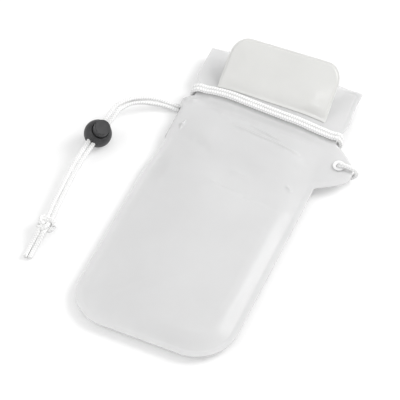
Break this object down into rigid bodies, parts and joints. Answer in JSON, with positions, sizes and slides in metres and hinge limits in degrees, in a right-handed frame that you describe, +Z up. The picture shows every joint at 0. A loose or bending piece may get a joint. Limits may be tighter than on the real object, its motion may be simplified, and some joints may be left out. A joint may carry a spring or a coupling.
{
  "type": "waterproof phone pouch",
  "caption": "Flat frosted film pouch for a phone, with a zip mouth, a hook-and-loop flap, eyelets in two side ears, and a cord with a spring lock wound round its neck.",
  "frame": {"origin": "on the flat underside of the back panel, under the belly, where the pouch rests", "axes": "+X across the pouch to the ear that lies flat, +Y along it towards the zip mouth, +Z up out of the front panel"},
  "size_m": [0.1763, 0.2367, 0.0313],
  "materials": {
    "film": "frosted flexible film, faint wrinkles, glossy weld lines",
    "zip": "extruded, semi-clear",
    "flap": "glossy welded film over a soft core",
    "hook_and_loop": "hook and loop",
    "eyelet": "glossy",
    "cord": "braided, matt",
    "lock_plastic": "moulded, satin",
    "spring_steel": "drawn wire"
  },
  "bodies": {
    "pouch": {"front_panel": "film", "back_panel": "film", "zip_rib_track": "zip", "zip_groove_track": "zip", "closure_flap": "flap", "hook_patch": "hook_and_loop", "loop_patch": "hook_and_loop", "right_eyelet": "eyelet", "left_eyelet": "eyelet", "neck_cord": "cord", "free_strand_1": "cord", "free_strand_2": "cord", "cord_tail_1": "cord", "cord_tail_2": "cord", "cord_knot": "cord"},
    "lock": {"lock_body": "lock_plastic", "lock_spring": "spring_steel"},
    "button": {"lock_button": "lock_plastic"}
  },
  "joints": [
    {"name": "lock_slide", "type": "slide", "parent": "pouch", "child": "lock", "axis": [0.1499, 0.9794, 0.1349], "range_m": [0, 0.012]},
    {"name": "button_press", "type": "slide", "parent": "lock", "child": "button", "axis": [-0.3994, 0.1852, -0.8979], "range_m": [0, 0.0032], "stiffness_N_per_m": 400, "springref_m": -0.005, "deforming": ["lock_spring"]}
  ]
}
